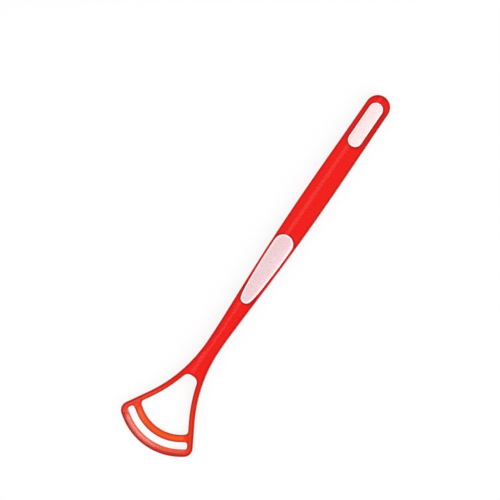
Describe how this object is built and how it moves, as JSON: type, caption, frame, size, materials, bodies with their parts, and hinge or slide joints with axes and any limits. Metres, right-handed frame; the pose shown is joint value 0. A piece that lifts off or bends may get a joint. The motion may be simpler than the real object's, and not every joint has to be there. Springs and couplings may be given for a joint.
{
  "type": "tongue scraper",
  "caption": "Slim clear-plastic tongue scraper whose handle fans out into a head with curved scraping blades, with soft ribbed rubber grips let into the front.",
  "frame": {"origin": "on the flat back, under the middle of the overall length and width", "axes": "+X along the handle from the tail to the head, +Y across it, +Z out of the front, away from the flat back"},
  "size_m": [0.1902, 0.0378, 0.0055],
  "materials": {
    "clear_tinted_plastic": "clear red plastic, polished, lighter and more orange where it is thin",
    "grip_rubber": "soft white thermoplastic rubber, matt"
  },
  "bodies": {
    "root": {"scraper_body": "clear_tinted_plastic", "thumb_grip": "grip_rubber", "tail_grip": "grip_rubber"}
  },
  "joints": []
}
